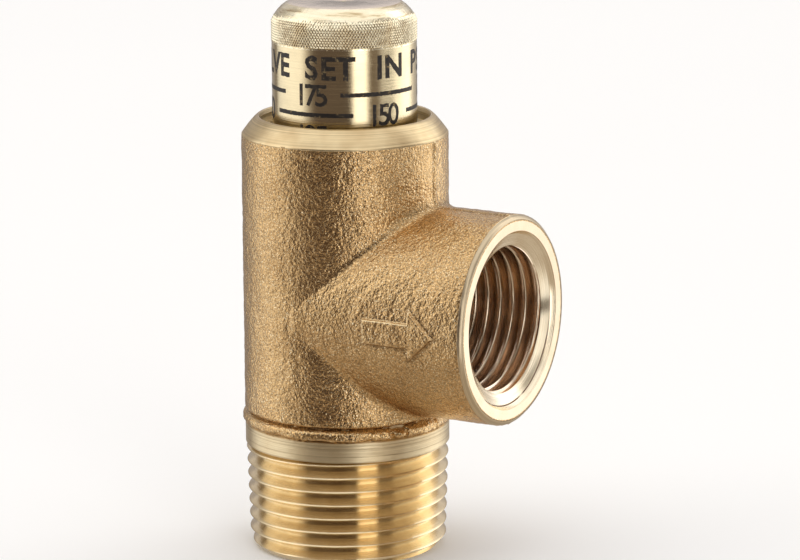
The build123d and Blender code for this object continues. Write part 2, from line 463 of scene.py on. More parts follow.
def foot_form(points):
    """The casting's foot: a groove, then a rough bead that dies into the turned collar."""
    height = points[:, 2]
    ragged = 0.16 * rolling(points, 2.2, 4.4) + 0.08 * rolling(points, 0.6, 8.8)
    groove = -0.55 * hill(height - FOOT_GROOVE_Z - 0.3 * ragged, 0.2)
    bead = (0.26 + 0.5 * ragged) * smoothstep(18.2, 17.7, height)
    under = -1.1 * smoothstep(0.55, -0.35, height - COLLAR_TOP_Z + ragged)
    return groove + bead + under


def burr(points):
    """The torn lump that the foot has below the outlet, on its front side."""
    bearing = radians(-29)
    spot = np.array([BODY_R * cos(bearing), BODY_R * sin(bearing), 17.5])
    away = np.linalg.norm((points - spot) / np.array([1.0, 1.0, 0.7]), axis=1)
    return 0.75 * hill(away, 0.8) - 0.6 * hill(away - 1.1, 0.3)


def refine(work, wanted, cuts):
    """Subdivide the faces whose centre is wanted."""
    edges = {edge for face in work.faces if wanted(face.calc_center_median()) for edge in face.edges}
    bmesh.ops.subdivide_edges(work, edges=list(edges), cuts=cuts, use_grid_fill=True)


def near_arrow(spot):
    """True for the flank round the flow arrow."""
    along = (ARROW_TAIL_X - 0.8) * MM < spot.x < (ARROW_TIP_X + 0.8) * MM
    return spot.y < -8 * MM and along and abs(spot.z - ARROW_Z * MM) < 4.0 * MM


def near_ends(spot):
    """True for the casting's foot and rim."""
    return spot.z < 19.6 * MM or spot.z > (RIM_Z - 3.4) * MM


def cast_relief(points):
    """How far the rough casting stands out of the plain tee."""
    _, y, z = points.T
    bumps = 0.07 * rolling(points, 5.0, 3.1) + 0.05 * rolling(points, 1.6, 7.7)
    bumps += 0.05 * rolling(points, 0.75, 1.3)
    bumps *= 1 - 0.75 * smoothstep(RIM_Z - 3.6, RIM_Z - 2.8, z)
    seam = 0.22 * hill(y + 0.12 * rolling(points, 4.0, 9.0), 0.22)
    arrow = 0.5 * (1 - smoothstep(-0.2, 0.1, arrow_outside(points)))
    return bumps + seam + arrow + foot_form(points) + burr(points)


def turn_ends(points, skin=0.0):
    """Keep points a skin inside the turned rim and mouth. Returns 1 for those that were outside."""
    x, y, z = points.T
    around = np.hypot(x, y)
    rim = rim_envelope(z) - np.minimum(skin, 0.06 + 0.3 * (RIM_Z - z))
    at_rim = (z > RIM_CUT_Z) & (around > rim)
    points[:, :2] *= np.where(at_rim, rim / around, 1.0)[:, None]
    about = np.hypot(y, z - OUTLET_Z)
    mouth = mouth_envelope(x) - np.minimum(skin, 0.08 + 0.5 * (OUTLET_X - x))
    at_mouth = (x > MOUTH_CUT_X) & (about > mouth)
    scale = np.where(at_mouth, mouth / about, 1.0)
    points[:, 1] *= scale
    points[:, 2] = OUTLET_Z + (z - OUTLET_Z) * scale
    return (at_rim | at_mouth).astype(float)


def cast_shading(points):
    """Painted shade in the hollows, and a painted highlight on the upper edge of the arrow's shaft and on
    its tail end.
    """
    x, y, z = points.T
    outside = arrow_outside(points)
    # Painted shade: darker just outside the arrow, in the foot's groove, beside the seam above the outlet
    # and in the crease between barrel and boss.
    painted_shade = 0.85 * hill(outside - 0.22, 0.22)
    painted_shade += 0.85 * hill(z - FOOT_GROOVE_Z, 0.18)
    painted_shade += 0.9 * hill(y + 0.4, 0.17) * (z > OUTLET_Z)
    painted_shade += 0.75 * crease(points, BODY_R) * smoothstep(OUTLET_Z - 3, OUTLET_Z + 4, z)
    # Painted highlight on the arrow's edges that face the light: the shaft's upper edge and the tail end.
    lit_edges = (z > ARROW_Z + 0.9) | (x < ARROW_TAIL_X + 0.4)
    lit_edges &= x < ARROW_HEAD_X + 0.3
    painted_light_amount = 0.8 * hill(outside + 0.1, 0.14) * lit_edges
    return np.minimum(painted_shade, 1.0), painted_light_amount


def body_casting():
    """The cast outside of the body, with the turned chamfers at its rim and mouth."""
    obj, work = tee_surface("body_casting", BODY_R, 0.3)
    refine(work, near_arrow, 2)
    refine(work, near_ends, 1)
    points = points_of(work.verts)
    cast = points + cast_relief(points)[:, None] * gradient(points, BODY_R)
    turned = turn_ends(cast)
    move_to(work, cast)
    # The vertices carry the painted shade and the arrow's painted highlight for the material.
    painted_shade, painted_light_amount = cast_shading(points)
    for name, values in (("turned", turned), ("painted_shade", painted_shade), ("painted_light_amount", painted_light_amount)):
        layer = work.verts.layers.float.new(name)
        for vertex, value in zip(work.verts, values):
            vertex[layer] = value
    close_inside(work)
    work.to_mesh(obj.data)
    work.free()
    shade(obj, 60)
    return obj


def close_inside(work):
    """Join a coarse inner surface to the three open ends, so that the casting is a closed shell."""
    inner_obj, inner = tee_surface("inner", BODY_R - SKIN, 1.1)
    points = points_of(inner.verts)
    turn_ends(points, SKIN)
    move_to(inner, points)
    inner.to_mesh(inner_obj.data)
    inner.free()
    for face in work.faces:
        face.tag = True
    outer_edges = [edge for edge in work.edges if edge.is_boundary]
    before = set(work.edges)
    work.from_mesh(inner_obj.data)
    remove(inner_obj)
    inner_faces = [face for face in work.faces if not face.tag]
    bmesh.ops.reverse_faces(work, faces=inner_faces)
    inner_edges = [edge for edge in work.edges if edge.is_boundary and edge not in before]

    def end_of(edge):
        middle = (edge.verts[0].co + edge.verts[1].co) / 2 / MM
        if middle.x > OUTLET_X - 0.6:
            return "mouth"
        return "rim" if middle.z > (RIM_Z + CAST_LOW_Z) / 2 else "foot"

    for place in ("mouth", "rim", "foot"):
        loop = [edge for edge in outer_edges + inner_edges if end_of(edge) == place]
        bmesh.ops.bridge_loops(work, edges=loop)
    bmesh.ops.recalc_face_normals(work, faces=work.faces)


# ---- Turned parts of the body

def body_core():
    """What is turned about the valve's axis: inlet thread, collar, lip, cap thread, seat and bores."""
    turn = Turning()

    def inlet_surface(z, t):
        crest = INLET_R - (COLLAR_LOW_Z - z) * NPT_TAPER
        start = 11.75 + 1.15 * z
        return np.minimum(crest - NPT_DEPTH * thread_form(t, 0.06, 0.04), start)

    low, high = turn.thread(inlet_surface, 0.0, COLLAR_LOW_Z, INLET_PHASE, 20)
    turn.strip([turn.ring(INLET_BORE_R + 0.4, 0), low])
    turn.strip([high, turn.ring(BODY_R - 0.06, COLLAR_LOW_Z)])
    turn.plain(
        (BODY_R - 0.06, COLLAR_LOW_Z), (BODY_R - 0.02, COLLAR_LOW_Z + 0.06),
        (BODY_R - 0.02, COLLAR_TOP_Z), (CORE_R, COLLAR_TOP_Z + 0.3), (CORE_R, RIM_Z - 4.6),
    )
    lip = [(CORE_R, RIM_Z - 4.6)]
    for z in np.linspace(RIM_Z - 3.4, RIM_Z - 0.02, 24):
        under = 0.04 + 0.3 * float(smoothstep(RIM_Z - 0.3, RIM_Z - 2, z))
        lip.append((min(float(rim_envelope(np.array(z))) - under, CORE_R), z))
    turn.plain(
        *lip, (LIP_R, RIM_Z - 0.02), (LIP_R - 0.05, RIM_Z - 0.12), (LIP_R - 0.02, RIM_Z - 0.62),
        (LIP_R + 0.35, RIM_Z - 0.85), (CAP_THREAD_R - 0.1, RIM_Z - 1.9),
    )

    def cap_surface(z, t):
        # The root of the cap's thread is the crest of the body's, so the form is the cap's, shifted out.
        return CAP_THREAD_R + 0.1 - CAP_THREAD_DEPTH * thread_form(t, 0.08)

    low, high = turn.thread(cap_surface, CAP_THREAD_Z, RIM_Z - 1.9, 0.0, 10)
    turn.strip([turn.ring(CAP_THREAD_R - 0.1, RIM_Z - 1.9), high])
    turn.strip([low, turn.ring(CHAMBER_R, CAP_THREAD_Z)])
    turn.plain(
        (CHAMBER_R, CAP_THREAD_Z), (CHAMBER_R, FLOOR_Z), (SEAT_RIM_R, FLOOR_Z),
        (SEAT_RIM_R, SEAT_Z - 0.5), (SEAT_RIM_R - 0.5, SEAT_Z - 0.01), (SEAT_R + 0.3, SEAT_Z - 0.01),
        (SEAT_R, SEAT_Z - 0.3), (SEAT_R, WEB_LOW_Z), (INLET_BORE_R, WEB_LOW_Z),
        (INLET_BORE_R, 0.4), (INLET_BORE_R + 0.4, 0),
    )
    core = turn.finish("body_core")
    cutter = Turning(96)
    cutter.plain((0, 0), (PORT_R + 0.4, 0), (PORT_R + 0.4, BODY_R + 2), (0, BODY_R + 2))
    tool = cutter.finish("port_cutter", along_outlet)
    cut = core.modifiers.new("port", "BOOLEAN")
    cut.operation = "DIFFERENCE"
    cut.solver = "EXACT"
    cut.object = tool
    apply_modifiers(core)
    remove(tool)
    shade(core)
    return core


def along_outlet(vertices):
    """Lay a piece made about Z along the outlet."""
    x, y, z = vertices.T
    return np.stack([z, y, OUTLET_Z - x], 1)


def outlet_mouth():
    """What is turned about the outlet's axis: face, countersink, thread and port."""
    turn = Turning()
    thread_low = 12.6
    thread_high = OUTLET_X - THREAD_START
    wide_r = BOSS_R - 0.95

    def surface(z, t):
        root = OUTLET_THREAD_R - (OUTLET_X - z) * NPT_TAPER
        return root - NPT_DEPTH * (1 - np.sin(thread_form(t, 0.07, 0.03) * pi / 2))

    low, high = turn.thread(surface, thread_low, thread_high, OUTLET_PHASE, 20)
    throat_r = OUTLET_THREAD_R - NPT_DEPTH
    turn.strip([high, turn.ring(throat_r + 0.2, thread_high + 0.04)])
    turn.plain(
        (throat_r + 0.2, thread_high + 0.04), (throat_r + 0.32, thread_high + 0.1),
        (COUNTERSINK_R, OUTLET_X - STEP_DEPTH),
        (COUNTERSINK_R + 0.08, OUTLET_X - STEP_DEPTH + 0.06),
        (COUNTERSINK_R + 0.38, OUTLET_X - 0.12), (COUNTERSINK_R + 0.46, OUTLET_X - 0.01),
        (BOSS_R - MOUTH_CHAMFER - 0.02, OUTLET_X - 0.01), (BOSS_R - 0.75, OUTLET_X - 0.3),
        (wide_r, OUTLET_X - 0.6), (wide_r, 12.0),
    )
    port_z = OUTLET_Z - PORT_R * np.cos(turn.angles)
    in_thread = smoothstep(CAP_THREAD_Z - 0.9, CAP_THREAD_Z - 0.3, port_z)
    wide_wall = CAP_THREAD_R + 0.3
    port_wall = CHAMBER_R + 0.05 + (CAP_THREAD_R + 0.2 - CHAMBER_R) * in_thread
    # The piece's inner end is hollowed to clear the round chamber.
    saddle = []
    for share in np.linspace(0, 1, 7):
        radius = wide_r + (PORT_R - wide_r) * share
        wall = wide_wall + (port_wall - wide_wall) * share
        aside = radius * np.sin(turn.angles)
        saddle.append(turn.ring(radius, np.sqrt(np.maximum(wall ** 2 - aside ** 2, 9.0))))
    turn.strip([turn.ring(wide_r, 12.0)] + saddle)
    turn.strip([saddle[-1], turn.ring(PORT_R, 12.3), low])
    return turn.finish("outlet_mouth", along_outlet)


# ---- Cap

def knurl_groove(angle, height):
    """0 on the knurl's diamonds to 1 in its crossed grooves."""
    lean = math.tan(KNURL_LEAN) / CAP_R
    across = angle * KNURL_LINES / (2 * pi)
    rise = height * lean * KNURL_LINES / (2 * pi)
    ways = [np.abs(((across + way * rise) % 1.0) - 0.5) * 2 for way in (1, -1)]
    return np.maximum(*ways)


def cap_shell():
    """The cap's sleeve: skirt thread, scale band and bore."""
    turn = Turning()
    low_z = CAP_LOW_Z

    def skirt(z, t):
        end = np.minimum(z - low_z, SKIRT_TOP_Z - z)
        crest = CAP_THREAD_R - np.maximum(0.6 - end, 0) * 0.9
        return np.minimum(CAP_THREAD_R - CAP_THREAD_DEPTH * thread_form(t, 0.2), crest)

    low, high = turn.thread(skirt, low_z, SKIRT_TOP_Z, 0.0, 10)
    turn.strip([turn.ring(CAP_BORE_R + 0.3, low_z), low])
    turn.strip([high, turn.ring(CAP_R, SKIRT_TOP_Z)])
    turn.plain(
        (CAP_R, SKIRT_TOP_Z), (CAP_R, KNURL_LOW_Z + 0.25), (CAP_R - 0.35, KNURL_LOW_Z + 0.3),
        (CAP_R - 0.35, SHOULDER_Z), (CAP_FLAT_R - 0.4, CAP_TOP_Z - 0.35), (0.0, CAP_TOP_Z - 0.35),
    )
    turn.plain(
        (CAP_BORE_R + 0.3, low_z), (CAP_BORE_R, low_z + 0.3), (CAP_BORE_R, CAP_CEILING_Z),
        (0.0, CAP_CEILING_Z),
    )
    return turn.finish("cap_sleeve")


def cap_head():
    """The knurled grip, the rounded shoulder and the flat top with its centre mark."""
    turn = Turning(1200)
    shoulder_r, shoulder_rise = zip(*SHOULDER)
    heights = np.concatenate([
        np.arange(KNURL_LOW_Z, KNURL_TOP_Z + 0.2, 0.055), np.linspace(KNURL_TOP_Z + 0.25, CAP_TOP_Z, 26),
    ])
    rings = []
    # The band's two edges wander a little.
    ragged = 0.09 * np.sin(turn.angles * 61) + 0.06 * np.sin(turn.angles * 23 + 1.0)
    for z in heights:
        radius = np.interp(z - SHOULDER_Z, shoulder_rise, shoulder_r)
        in_band = smoothstep(0.0, 0.12, z - KNURL_LOW_Z - 0.12 - ragged)
        in_band *= smoothstep(0.0, -0.5, z - KNURL_TOP_Z - ragged)
        groove = knurl_groove(turn.angles, z) * in_band
        rings.append(turn.ring(radius - 0.14 * groove + 0.06 * in_band, z))
    turn.strip([turn.ring(CAP_R - 0.4, KNURL_LOW_Z), rings[0]])
    turn.strip(rings)
    turn.strip([
        rings[-1], turn.ring(1.35, CAP_TOP_Z), turn.ring(1.2, CAP_TOP_Z - 0.06),
        turn.ring(0.35, CAP_TOP_Z - 0.1), turn.ring(0.0, CAP_TOP_Z - 0.32),
    ])
    turn.plain(
        (0.0, CAP_TOP_Z - 0.6), (CAP_FLAT_R - 1, CAP_TOP_Z - 0.6), (CAP_R - 0.9, SHOULDER_Z - 0.2),
        (CAP_R - 0.9, KNURL_LOW_Z + 0.2), (CAP_R - 0.4, KNURL_LOW_Z),
    )
    head = turn.finish("cap_head")
    x, y, z = points_of(head.data.vertices).T
    band = smoothstep(0.0, 0.2, z - KNURL_LOW_Z - 0.12) * smoothstep(0.0, -0.6, z - KNURL_TOP_Z)
    band *= np.hypot(x, y) > CAP_FLAT_R
    layer = head.data.attributes.new("groove", "FLOAT", "POINT")
    layer.data.foreach_set("value", knurl_groove(np.arctan2(y, x), z) * band)
    shade(head, 70)
    return head


# ---- Materials

class Nodes:
    """The shader nodes of a material or a world, with short names for those used here."""

    def __init__(self, owner, place="Object"):
        owner.use_nodes = True
        self.owner = owner
        self.tree = owner.node_tree
        self.tree.nodes.clear()
        self.place = self.add("TexCoord").outputs[place]

    def add(self, kind, inputs=None, **settings):
        """A new node with its settings, and its inputs by name or number."""
        node = self.tree.nodes.new("ShaderNode" + kind)
        for name, value in settings.items():
            setattr(node, name, value)
        self.feed(node, inputs or {})
        return node

    def feed(self, node, inputs):
        """Give inputs another node's output, a number, a vector or a colour."""
        for name, value in inputs.items():
            socket = node.inputs[name]
            if hasattr(value, "is_output"):
                self.tree.links.new(value, socket)
            elif socket.type == "RGBA":
                socket.default_value = (*value, 1)
            else:
                socket.default_value = value

    def parts(self, vector=None):
        """The x, y and z of a vector, or of the place on the object."""
        return self.add("SeparateXYZ", {0: vector or self.place}).outputs

    def noise(self, scale, detail=2.0, roughness=0.5, vector=None):
        """Noise about 0.5, on the object unless told otherwise."""
        inputs = {"Vector": vector or self.place, "Scale": scale, "Detail": detail, "Roughness": roughness}
        return self.add("TexNoise", inputs).outputs["Fac"]

    def ramp(self, value, *stops):
        """A colour ramp from (position, colour) pairs."""
        node = self.add("ValToRGB", {0: value})
        elements = node.color_ramp.elements
        while len(elements) < len(stops):
            elements.new(0.5)
        for element, (position, colour) in zip(elements, stops):
            element.position = position
            element.color = (*colour, 1)
        return node.outputs[0]

    def steps(self, value, *stops):
        """A grey ramp from (position, level) pairs."""
        return self.ramp(value, *[(position, (level,) * 3) for position, level in stops])

    def math(self, operation, a, b=0.0):
        """One of Blender's operations on two numbers."""
        return self.add("Math", {0: a, 1: b}, operation=operation).outputs[0]

    def plus(self, a, b):
            return self.math("ADD", a, b)

    def minus(self, a, b):
            return self.math("SUBTRACT", a, b)

    def times(self, a, b):
            return self.math("MULTIPLY", a, b)

    def over(self, a, b):
            return self.math("DIVIDE", a, b)

    def above(self, value, height):
        """1 where a coordinate is above a place in millimetres, else 0."""
        return self.math("GREATER_THAN", value, height * MM)

    def below(self, value, height):
        """1 where it is below."""
        return self.math("LESS_THAN", value, height * MM)

    def mix(self, factor, a, b, how="MIX"):
        """A colour between a (factor 0) and b (factor 1)."""
        settings = {"data_type": "RGBA", "blend_type": how}
        return self.add("Mix", {0: factor, 6: a, 7: b}, **settings).outputs[2]

    def blend(self, factor, a, b):
        """A number between a (factor 0) and b (factor 1)."""
        return self.add("Mix", {0: factor, 2: a, 3: b}, data_type="FLOAT").outputs[0]

    def bump(self, height, distance, strength=1.0):
        """The normal of a surface that a height of 1 lifts by a distance in metres."""
        inputs = {"Height": height, "Distance": distance, "Strength": strength}
        return self.add("Bump", inputs).outputs[0]

    def attribute(self, name):
        """A value that the mesh carries on its vertices."""
        return self.add("Attribute", attribute_name=name).outputs["Fac"]

    def lathe_lines(self, axis, fineness=1.0):
        """Height of fine lathe marks: noise stretched round the axis of turning, x or z."""
        fine = 5200 * fineness
        around = 12
        scale = (around, around, fine) if axis == "z" else (fine, around, around)
        vector = self.add("Mapping", {"Vector": self.place, "Scale": scale}).outputs[0]
        return self.noise(1.0, 3.0, 0.65, vector)


class Surface(Nodes):
    """A material with one principled shader."""

    def __init__(self, name):
        super().__init__(bpy.data.materials.new(name))
        self.shader = self.add("BsdfPrincipled")
        self.add("OutputMaterial", {"Surface": self.shader.outputs[0]})

    def draw_out(self, axis, amount):
        """Draw reflections out across lathe marks that run round an axis."""
        tangent = self.add("Tangent", direction_type="RADIAL", axis=axis).outputs[0]
        inputs = {"Tangent": tangent, "Anisotropic": amount, "Anisotropic Rotation": 0.25}
        self.feed(self.shader, inputs)

    def finish(self, colour, roughness, normal=None, metallic=1.0):
        """Feed the shader and return the material."""
        inputs = {"Base Color": colour, "Roughness": roughness, "Metallic": metallic}
        if normal:
            inputs["Normal"] = normal
        self.feed(self.shader, inputs)
        return self.owner


def cast_brass():
    """Sand-cast brass with bright turned chamfers where the turned mark says so."""
    n = Surface("cast_brass")
    turned = n.steps(n.attribute("turned"), (0.35, 0), (0.65, 1))
    lumps = n.noise(2500, 1.5, 0.5)
    grain = n.noise(4000, 2.0, 0.6)
    fine = n.noise(7500, 1.0, 0.5)
    base = n.ramp(
        n.noise(170, 3.0, 0.6),
        (0.3, (0.56, 0.355, 0.16)), (0.55, (0.64, 0.42, 0.195)), (0.75, (0.7, 0.47, 0.23)),
    )
    base = n.mix(1.0, base, n.steps(grain, (0.34, 0.6), (0.66, 1.27)), "MULTIPLY")
    # Painted shade in the hollows and the crease, darkening the colour towards deep brown.
    base = n.mix(n.times(n.attribute("painted_shade"), 0.75), base, (0.22, 0.125, 0.05))
    # Painted glints: fine bright specks lightened in the colour; the same specks are also made smoother.
    glint = n.steps(fine, (0.6, 0), (0.7, 0.85))
    base = n.mix(glint, base, (1.0, 0.88, 0.62))
    # Painted highlight on the arrow's lit edges, lightening the colour towards pale gold.
    base = n.mix(n.attribute("painted_light_amount"), base, (1.0, 0.84, 0.54))
    x, _, _ = n.parts()
    at_mouth = n.above(x, OUTLET_X - 2)
    lines = n.blend(at_mouth, n.lathe_lines("z", 0.8), n.lathe_lines("x"))
    bright = n.ramp(n.noise(300), (0.3, (0.66, 0.49, 0.27)), (0.7, (0.84, 0.67, 0.4)))
    bright = n.mix(at_mouth, bright, (0.72, 0.59, 0.4))
    bright = n.mix(1.0, bright, n.steps(lines, (0.36, 0.68), (0.6, 1)), "MULTIPLY")
    rough = n.blend(turned, n.blend(glint, 0.26, 0.18), n.blend(n.noise(500), 0.24, 0.38))
    height = n.plus(n.times(grain, 0.5), n.times(lumps, 1.3))
    height = n.plus(height, n.times(fine, 0.25))
    height = n.times(height, n.minus(1.0, turned))
    marks = n.times(lines, n.times(turned, 0.35))
    return n.finish(n.mix(turned, base, bright), rough, n.bump(n.plus(height, marks), 0.0001))


def turned_brass(name, colour, spread, rough):
    """Turned brass with fine lathe lines about the valve's axis."""
    n = Surface(name)
    lines = n.lathe_lines("z")
    dark = tuple(c * (1 - spread) for c in colour)
    light = tuple(min(c * (1 + spread * 0.6), 1) for c in colour)
    base = n.ramp(n.noise(240, 3.0, 0.6), (0.3, dark), (0.55, colour), (0.8, light))
    in_line = n.steps(lines, (0.3, 0.35), (0.55, 0))
    base = n.mix(in_line, base, tuple(c * 0.72 for c in colour))
    n.draw_out("Z", 0.6)
    return n.finish(base, n.blend(lines, *rough), n.bump(lines, 0.00003, 0.8))


def mouth_brass():
    """The outlet's turned face and countersink, a browner thread inside and stains in the step."""
    n = Surface("turned_mouth")
    x, y, z = n.parts()
    inside = n.below(x, OUTLET_X - THREAD_START + 0.02)
    up = n.minus(z, OUTLET_Z * MM)
    reach = n.math("SQRT", n.plus(n.math("POWER", y, 2.0), n.math("POWER", up, 2.0)))
    lines = n.lathe_lines("x")
    tone = n.noise(240, 3.0, 0.6)
    pale = n.ramp(tone, (0.3, (0.88, 0.75, 0.54)), (0.7, (0.98, 0.87, 0.67)))
    face = n.ramp(tone, (0.3, (0.67, 0.53, 0.37)), (0.7, (0.76, 0.62, 0.45)))
    # The flat face is painted darker and the countersink paler: painted shade and painted light on the same
    # turned brass.
    pale = n.mix(n.above(x, OUTLET_X - 0.05), pale, face)
    taper = n.times(n.minus(OUTLET_X * MM, x), NPT_TAPER)
    from_crest = n.minus(reach, (OUTLET_THREAD_R - NPT_DEPTH) * MM)
    depth = n.over(n.plus(from_crest, taper), NPT_DEPTH * MM)
    brown = n.ramp(n.noise(500, 3.0, 0.6), (0.3, (0.78, 0.6, 0.46)), (0.7, (0.97, 0.8, 0.64)))
    # Painted highlight: the thread's crests are paler than the rest of the thread.
    brown = n.mix(n.steps(depth, (0.04, 1), (0.14, 0)), brown, (0.92, 0.78, 0.6))
    base = n.mix(inside, pale, brown)
    base = n.mix(n.steps(lines, (0.32, 0.4), (0.55, 0)), base, (0.42, 0.28, 0.16))
    # The stain fills the step at the countersink's foot, along its lower part.
    share = n.over(reach, (COUNTERSINK_R + 0.1) * MM)
    in_step = n.steps(share, (0.98, 0), (0.99, 1), (1.0, 1), (1.0, 0))
    low = n.steps(n.over(up, -10 * MM), (0.15, 0), (0.5, 1))
    dirt = n.steps(n.noise(260, 4.0, 0.6), (0.34, 0), (0.42, 1))
    stain = n.times(n.times(in_step, low), dirt)
    base = n.mix(stain, base, (0.14, 0.055, 0.02))
    rough = n.blend(stain, n.blend(lines, 0.1, 0.24), 0.75)
    normal = n.bump(lines, n.blend(inside, 0.00004, 0.0001), 0.9)
    n.draw_out("X", 0.5)
    return n.finish(base, rough, normal, n.minus(1.0, n.times(stain, 0.9)))


def inlet_brass():
    """The inlet: a deep gold thread under a paler collar with coarse lathe lines."""
    n = Surface("turned_inlet")
    _, _, z = n.parts()
    on_collar = n.above(z, COLLAR_LOW_Z - 0.05)
    lines = n.lathe_lines("z", 0.8)
    tone = n.noise(260, 3.0, 0.6)
    gold = n.ramp(tone, (0.3, (0.8, 0.64, 0.4)), (0.55, (0.88, 0.72, 0.46)), (0.8, (0.93, 0.78, 0.53)))
    gold = n.mix(n.steps(n.noise(2600), (0.62, 0), (0.74, 0.3)), gold, (0.5, 0.36, 0.19))
    pale = n.ramp(tone, (0.3, (0.8, 0.65, 0.41)), (0.7, (0.9, 0.77, 0.52)))
    pale = n.mix(n.steps(lines, (0.36, 0.6), (0.54, 0)), pale, (0.46, 0.34, 0.19))
    rough = n.blend(on_collar, n.blend(tone, 0.14, 0.26), n.blend(lines, 0.32, 0.44))
    height = n.times(lines, n.blend(on_collar, 0.2, 1.0))
    n.draw_out("Z", 0.95)
    return n.finish(n.mix(on_collar, gold, pale), rough, n.bump(height, 0.00013))


def knurled_brass():
    """The cap's head: painted shade in the grip's grooves, a bright shoulder and a greyer flat top."""
    n = Surface("turned_head")
    _, _, z = n.parts()
    tone = n.noise(420, 3.0, 0.65)
    stretched = n.add("Mapping", {"Vector": n.place, "Scale": (160, 160, 1400)}).outputs[0]
    base = n.ramp(
        n.noise(1.0, 3.0, 0.65, stretched),
        (0.36, (0.56, 0.43, 0.25)), (0.46, (0.9, 0.79, 0.56)), (0.7, (1.0, 0.92, 0.72)),
    )
    in_band = n.below(z, KNURL_TOP_Z - 0.1)
    base = n.mix(in_band, base, n.ramp(tone, (0.3, (0.95, 0.81, 0.55)), (0.6, (1.0, 0.92, 0.69))))
    base = n.mix(n.above(z, CAP_TOP_Z - 0.12), base, (0.9, 0.79, 0.68))
    # Painted shade in the knurl's grooves, stronger in some spots than in others.
    painted_light_amount = n.steps(n.noise(1500, 3.0, 0.7), (0.35, 0.84), (0.62, 1.06))
    deep = n.steps(n.times(n.attribute("groove"), painted_light_amount), (0.69, 0), (0.9, 0.96))
    base = n.mix(deep, base, (0.2, 0.11, 0.035))
    dents = n.times(n.noise(650, 3.0, 0.6), n.minus(1.0, in_band))
    return n.finish(base, n.blend(tone, 0.12, 0.3), n.bump(dents, 0.00014, 0.7))


def steel(name, colour, rough):
    """Plain steel of one grey, a little uneven in tone."""
    n = Surface(name)
    tone = n.noise(900, 3.0, 0.6)
    base = n.ramp(tone, (0.3, tuple(c * 0.8 for c in colour)), (0.7, colour))
    return n.finish(base, n.blend(tone, rough - 0.08, rough + 0.1), n.bump(n.noise(2500), 0.00002, 0.6))


def seat_rubber():
    """Matt black rubber."""
    n = Surface("seat_rubber")
    tone = n.noise(700, 3.0, 0.6)
    base = n.ramp(tone, (0.3, (0.012, 0.012, 0.012)), (0.7, (0.035, 0.033, 0.03)))
    return n.finish(base, n.blend(tone, 0.55, 0.75), n.bump(n.noise(3500), 0.00002, 0.6), 0.0)


def dark_fill():
    """Black filling in the stamped marks, worn through in spots."""
    n = Surface("mark_fill")
    wear = n.noise(1700, 3.0, 0.65)
    base = n.ramp(
        wear, (0.42, (0.012, 0.008, 0.006)), (0.6, (0.03, 0.02, 0.012)), (0.7, (0.35, 0.26, 0.13)),
    )
    bare = n.steps(wear, (0.6, 0), (0.7, 0.9))
    return n.finish(base, n.blend(wear, 0.5, 0.6), n.bump(wear, 0.00005, 0.8), bare)


def paper_floor():
    """Pale matt paper."""
    n = Surface("floor_paper")
    base = n.ramp(n.noise(3.0), (0.2, (0.93, 0.93, 0.93)), (0.8, (0.95, 0.95, 0.95)))
    return n.finish(base, 0.9, metallic=0.0)


# ---- Marks on the cap

def letter_mesh(letter, size, weight):
    """One letter of Blender's own font, with its strokes made heavier by the weight."""
    curve = bpy.data.curves.new("letter", "FONT")
    curve.body = letter
    curve.size = size * MM
    curve.align_x = "CENTER"
    curve.resolution_u = 3
    curve.offset = weight * MM
    curve.extrude = MARK_SUNK * MM
    holder = new_object("letter", curve)
    mesh = mesh_of(holder)
    bpy.data.objects.remove(holder)
    bpy.data.curves.remove(curve)
    return mesh


def stamped_text(name, words, size, letter_pitch, middle_angle, foot_z, weight):
    """Stamped characters set one by one round the sleeve, reading from left to right."""
    work = bmesh.new()
    for place, letter in enumerate(words):
        if letter == " ":
            continue
        mesh = letter_mesh(letter, size, weight)
        shift = (place - (len(words) - 1) / 2) * letter_pitch
        mesh.transform(Matrix.Translation((shift * MM, 0, 0)))
        work.from_mesh(mesh)
        bpy.data.meshes.remove(mesh)
    bmesh.ops.remove_doubles(work, verts=work.verts, dist=1e-7)
    # Narrow upright slices let the flat letters bend round the sleeve.
    xs = [v.co.x for v in work.verts]
    cut = min(xs) + 0.0001 * MM
    while cut < max(xs):
        geometry = work.verts[:] + work.edges[:] + work.faces[:]
        bmesh.ops.bisect_plane(work, geom=geometry, dist=1e-7, plane_co=(cut, 0, 0), plane_no=(1, 0, 0))
        cut += MARK_SLICE * MM
    for vertex in work.verts:
        x, y, z = vertex.co / MM
        spot = Vector((x * 2.2, y * 2.2, middle_angle * 9 + foot_z))
        x += 0.07 * noise.noise(spot)
        y += 0.09 * noise.noise(spot + Vector((7, 0, 0)))
        angle = middle_angle + x / CAP_R
        radius = CAP_R + (MARK_PROUD if z > 0 else -MARK_SUNK)
        vertex.co = Vector((radius * cos(angle), radius * sin(angle), foot_z + y)) * MM
    bmesh.ops.recalc_face_normals(work, faces=work.faces)
    return add_object(name, work)


def scale_line(name, start, end, z, seed):
    """One stamped line of the scale, thin, slightly uneven, bent round the sleeve."""
    steps = 90
    half = 0.27
    vertices = []
    for step in range(steps + 1):
        angle = start + (end - start) * step / steps
        wobble = 0.07 * noise.noise(Vector((step * 0.35, seed, 0)))
        pinch = 0.09 * noise.noise(Vector((step * 0.55, 0, seed)))
        for height in (-half + pinch, half + wobble):
            for radius in (CAP_R - MARK_SUNK, CAP_R + MARK_PROUD):
                vertices.append((radius * cos(angle), radius * sin(angle), z + height))
    faces = []
    for step in range(steps):
        a = step * 4
        b = a + 4
        faces += [(a + 1, b + 1, b + 3, a + 3), (a, a + 2, b + 2, b)]
        faces += [(a, b, b + 1, a + 1), (a + 2, a + 3, b + 3, b + 2)]
    last = steps * 4
    faces += [(0, 1, 3, 2), (last, last + 2, last + 3, last + 1)]
    return make_object(name, vertices, faces, smooth=False)


# ---- Spring

